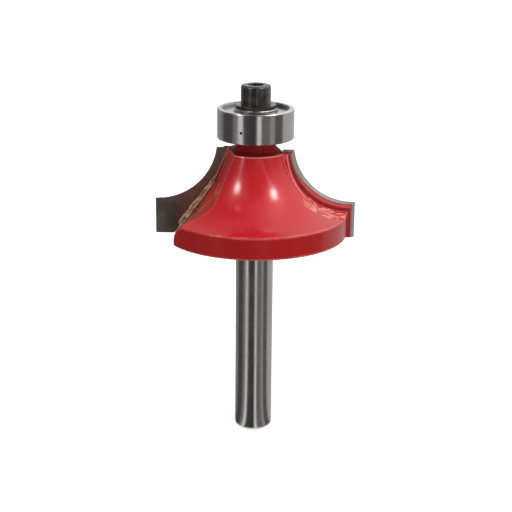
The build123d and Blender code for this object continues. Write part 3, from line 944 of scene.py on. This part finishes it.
class ROUTERBIT_OT_bearing(bpy.types.Operator):
    """Finish the rings, shields, wires, balls and cage of the bearing"""

    bl_idname = "router_bit.bearing"
    bl_label = "Bearing"

    def execute(self, context):
        steel = context.scene.router_bit_steel
        outer = bearing_material("bearing_outer", steel, roughness=0.14, nick=BEARING_NICK)
        inner = bearing_material("bearing_inner", steel, roughness=0.2)
        shield = bearing_material("bearing_shield", steel, roughness=0.18)
        wire = bearing_material("snap_wire", steel, roughness=0.3, darkened=0.45)
        polished = bearing_material("polished_balls", steel, roughness=0.05)
        cage = bearing_material("ball_cage", steel, roughness=0.3)
        balls = {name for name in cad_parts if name.startswith("ball_")} - {"ball_cage"}
        dress(["bearing_outer_ring"], outer)
        dress(["bearing_inner_ring"], inner)
        dress(["shield_top", "shield_bottom"], shield)
        dress(["shield_ring_top", "shield_ring_bottom"], wire)
        dress(sorted(balls), polished)
        dress(["ball_cage"], cage)
        return {"FINISHED"}


class ROUTERBIT_OT_screw(bpy.types.Operator):
    """Blacken the screw and the washer"""

    bl_idname = "router_bit.screw"
    bl_label = "Screw and washer"

    def execute(self, context):
        dress(["washer", "socket_screw"], black_oxide_material(context.scene.router_bit_oxide))
        return {"FINISHED"}


# What reflections see round the bit, as (degrees from the camera's side with right positive,
# brightness), low down and high up
LOW_GLOW = (
    (-180, 1.0), (-166, 1.0), (-163, 0.45), (-111, 0.22), (-107, 0.08), (-71, 0.08),
    (-68, 0.2), (-57, 0.24), (-54, 0.35), (-48, 0.85), (-39, 0.85), (-35, 0.08),
    (2, 0.04), (5, 0.5), (9, 1.0), (14, 0.9), (18, 0.15), (41, 0.19), (45, 0.36),
    (56, 0.38), (59, 0.12), (84, 0.12), (88, 0.5), (163, 0.58), (166, 1.0), (180, 1.0),
)
HIGH_GLOW = (
    (-180, 0.45), (-140, 0.3), (-110, 0.12), (-85, 0.05), (-50, 0.1), (-20, 0.05),
    (30, 0.05), (58, 0.35), (85, 1.1), (150, 0.9), (180, 0.45),
)
ZENITH_GLOW = 0.06

# Heights, in degrees, between which one band turns into the next
LOW_TO_HIGH = (6, 26)
HIGH_TO_ZENITH = (70, 90)

# Light stands as (height in degrees, side in degrees, brightness) up each one, and the lamps on
# them as (side, height, spread, brightness)
STANDS = (
    ((0, -44, 0.0), (6, -44, 3.0), (14, -45, 3.0), (26, -50, 1.2), (38, -54, 1.2), (46, -57, 0.0)),
    ((4, 12, 0.0), (11, 17, 1.0), (31, 38, 1.4), (44, 54, 1.4), (52, 61, 0.0)),
)
STAND_SPREAD = 3.0
LAMP_GLOW = (
    (-55.6, 42.1, 5.0, 26.0),
    (-55.6, 42.1, 15.0, 1.6),
    (59.0, 49.0, 5.5, 26.0),
    (59.0, 49.0, 17.0, 1.6),
    (-70.0, 68.0, 3.0, 2.5),
)

DOME_RADIUS = 150 * MM
DOME_MIDDLE = 45 * MM
DOME_FOOT = 3.7 * MM
DOME_LIFT = 0.3 * MM
DOME_COLOUR = (1.0, 0.985, 0.96)

# Heights, in degrees, whose brightness the dome's ring of floor has at its inner and outer edge
RING_HEIGHTS = (-90, -1)

# Radii of the floor's rings, in metres, and where its glow leaves the one under the bit and
# where it is plain
FLOOR_RADII = (0.0005, 0.02, 0.2, 3.0)
FLOOR_CORNERS = 96
FLOOR_PLAIN = (0.05, 0.3)
FLOOR_PLAIN_GLOW = 0.8

# Lamps as (name, place, width, setting that holds their power), in metres
LAMPS = (
    ("overhead_softbox", (0.05, -0.05, 0.5), 0.3, "overhead_watts"),
    ("front_softbox", (0.08, -0.4, 0.25), 0.25, "front_watts"),
    ("side_softbox", (0.3, -0.12, 0.06), 0.15, "side_watts"),
)


def dome_glow(side, height):
    """Brightness of the dome at sides and heights in degrees.

    The low band, the high band and the zenith turn into each other evenly with height. A stand
    adds its brightness times exp(-(d / spread)^2), with d the angle sideways from it, and a
    lamp the same with d the angle from its middle.
    """
    low = np.interp(side, *np.transpose(LOW_GLOW))
    high = np.interp(side, *np.transpose(HIGH_GLOW))
    to_high = np.interp(height, LOW_TO_HIGH, (0, 1))
    to_zenith = np.interp(height, HIGH_TO_ZENITH, (0, 1))
    glow = (low * (1 - to_high) + high * to_high) * (1 - to_zenith) + ZENITH_GLOW * to_zenith
    narrowing = np.cos(np.radians(height))
    for stand in STANDS:
        heights, sides, levels = np.transpose(stand)
        away = (side - np.interp(height, heights, sides)) * narrowing
        glow = glow + np.interp(height, heights, levels) * np.exp(-((away / STAND_SPREAD) ** 2))
    for lamp_side, lamp_height, spread, level in LAMP_GLOW:
        away = np.hypot((side - lamp_side) * narrowing, height - lamp_height)
        glow = glow + level * np.exp(-((away / spread) ** 2))
    return glow


def dome_material():
    """Plain light as bright as the dome's glow attribute."""
    material = bpy.data.materials.new("studio_dome")
    material.use_nodes = True
    nodes = material.node_tree.nodes
    nodes.remove(nodes["Principled BSDF"])
    draft = Draft(material.node_tree)
    glow = draft.add("ShaderNodeAttribute", attribute_name="glow").outputs["Fac"]
    light = draft.add("ShaderNodeEmission", {"Color": DOME_COLOUR, "Strength": glow})
    draft.join(light.outputs[0], nodes["Material Output"].inputs["Surface"])
    return material


def add_dome():
    """Studio seen only in reflections: a ring of floor and a half sphere over it.

    The ring lies flat from the foot's radius to the sphere's. Over it, with h a height and s a
    side, a point is at R cos h from the axis, turned by s, and R sin h above the middle. There
    is a point at each whole degree.
    """
    sphere_heights, side = np.arange(90), np.arange(-180, 181)
    height = np.concatenate((RING_HEIGHTS, sphere_heights))
    rise, turn = np.radians(sphere_heights), np.radians(side)
    radius = np.concatenate(((DOME_FOOT, DOME_RADIUS), DOME_RADIUS * np.cos(rise)))
    level = np.concatenate(((DOME_LIFT, DOME_LIFT), DOME_MIDDLE + DOME_RADIUS * np.sin(rise)))
    x, y = np.outer(radius, np.sin(turn)), np.outer(radius, -np.cos(turn))
    points = np.stack([x, y, np.outer(level, np.ones_like(turn))], -1)
    faces = grid_faces(len(height), len(side), False)
    dome = new_surface("studio_dome", points, faces, dome_material(), smooth=False)
    glow = dome.data.attributes.new("glow", "FLOAT", "POINT")
    glow.data.foreach_set("value", dome_glow(*np.meshgrid(side, height)).ravel().astype(np.float32))
    dome.visible_camera = dome.visible_diffuse = dome.visible_shadow = False
    dome.visible_transmission = dome.visible_volume_scatter = False


def background_rays(draft):
    """1 for rays that should see the white background: from the camera, gloss and glass."""
    rays = draft.add("ShaderNodeLightPath").outputs
    return draft.largest(
        rays["Is Camera Ray"], rays["Is Glossy Ray"], rays["Is Transmission Ray"]
    )


def add_world(studio):
    """White room: full white where it is seen, and a plain even light on the object."""
    world = bpy.data.worlds.new("studio_room")
    bpy.context.scene.world = world
    world.use_nodes = True
    draft = Draft(world.node_tree)
    background = world.node_tree.nodes["Background"].inputs
    draft.join(WHITE, background["Color"])
    draft.join(draft.fade(background_rays(draft), studio.room_level, 1.0), background["Strength"])


def add_floor(studio):
    """Round pale floor that keeps the bit's shadow and is lifted to white where it is seen."""
    draft = Finish("studio_floor")
    distance = draft.measure("LENGTH", draft.place)
    glow = draft.fade(draft.ramp(distance, FLOOR_PLAIN), studio.floor_glow, FLOOR_PLAIN_GLOW)
    draft.shade(
        base_color=[studio.floor_shade] * 3,
        roughness=1.0,
        specular_ior_level=0.0,
        emission_color=WHITE,
        emission_strength=draft.product(background_rays(draft), glow),
    )
    turns = np.linspace(0, 2 * np.pi, FLOOR_CORNERS, endpoint=False)
    x, y = np.outer(FLOOR_RADII, np.cos(turns)), np.outer(FLOOR_RADII, np.sin(turns))
    points = np.stack([x, y, np.zeros_like(x)], -1)
    faces = grid_faces(len(FLOOR_RADII), FLOOR_CORNERS, True)
    floor = new_surface("studio_floor", points, faces, draft.material, smooth=False)


def add_lamp(name, place, width, watts):
    """Area lamp that faces the head; reflections see the dome instead of it."""
    lamp = bpy.data.lights.new(name, "AREA")
    lamp.shape = "DISK"
    lamp.size = width
    lamp.energy = watts
    holder = bpy.data.objects.new(name, lamp)
    bpy.context.scene.collection.objects.link(holder)
    aim = Vector((0, 0, DOME_MIDDLE)) - Vector(place)
    holder.location = place
    holder.rotation_euler = aim.to_track_quat("-Z", "Y").to_euler()
    holder.visible_glossy = False


def add_camera(studio):
    """Camera at the photograph's viewing angle."""
    pitch, roll = studio.camera_pitch, studio.camera_roll
    level = Vector((1, 0, 0))
    upright = Vector((0, math.sin(pitch), math.cos(pitch)))
    right = math.cos(roll) * level + math.sin(roll) * upright
    up = math.cos(roll) * upright - math.sin(roll) * level
    turn = Matrix((right, up, right.cross(up))).transposed().to_4x4()
    camera = bpy.data.cameras.new("studio_camera")
    camera.lens = studio.camera_lens
    camera.clip_start = 10 * MM
    holder = bpy.data.objects.new("studio_camera", camera)
    bpy.context.scene.collection.objects.link(holder)
    holder.matrix_world = Matrix.Translation(studio.camera_place) @ turn
    bpy.context.scene.camera = holder


class ROUTERBIT_OT_studio(bpy.types.Operator):
    """Set up the floor, the room, the dome, the lamps and the camera"""

    bl_idname = "router_bit.studio"
    bl_label = "Studio"

    def execute(self, context):
        studio = context.scene.router_bit_studio
        context.scene.view_settings.view_transform = "Standard"
        add_world(studio)
        add_floor(studio)
        add_dome()
        for name, place, width, setting in LAMPS:
            add_lamp(name, place, width, getattr(studio, setting))
        add_camera(studio)
        return {"FINISHED"}


PIECES = (
    ROUTERBIT_OT_body,
    ROUTERBIT_OT_tips,
    ROUTERBIT_OT_braze,
    ROUTERBIT_OT_bearing,
    ROUTERBIT_OT_screw,
    ROUTERBIT_OT_studio,
)

# Settings groups and their labels in the order of the panel
SETTINGS = {
    "router_bit_paint": (PaintSettings, "Paint"),
    "router_bit_steel": (SteelSettings, "Steel"),
    "router_bit_carbide": (CarbideSettings, "Carbide"),
    "router_bit_braze": (BrazeSettings, "Braze"),
    "router_bit_oxide": (OxideSettings, "Black oxide"),
    "router_bit_studio": (StudioSettings, "Studio"),
}


class ROUTERBIT_PT_sidebar(bpy.types.Panel):
    """Router bit pieces and their settings"""

    bl_label = "Router Bit"
    bl_space_type = "VIEW_3D"
    bl_region_type = "UI"
    bl_category = "Router Bit"

    def draw(self, context):
        for piece in PIECES:
            self.layout.operator(piece.bl_idname)
        for name, (group, label) in SETTINGS.items():
            box = self.layout.box()
            box.label(text=label)
            for setting in group.__annotations__:
                box.prop(getattr(context.scene, name), setting)


def register():
    for name, (group, _) in SETTINGS.items():
        bpy.utils.register_class(group)
        setattr(bpy.types.Scene, name, PointerProperty(type=group))
    for piece in (*PIECES, ROUTERBIT_PT_sidebar):
        bpy.utils.register_class(piece)


def unregister():
    for piece in (ROUTERBIT_PT_sidebar, *reversed(PIECES)):
        bpy.utils.unregister_class(piece)
    for name, (group, _) in SETTINGS.items():
        delattr(bpy.types.Scene, name)
        bpy.utils.unregister_class(group)


def main():
    register()
    for piece in PIECES:
        module, name = piece.bl_idname.split(".")
        getattr(getattr(bpy.ops, module), name)()


if __name__ == "__main__":
    main()
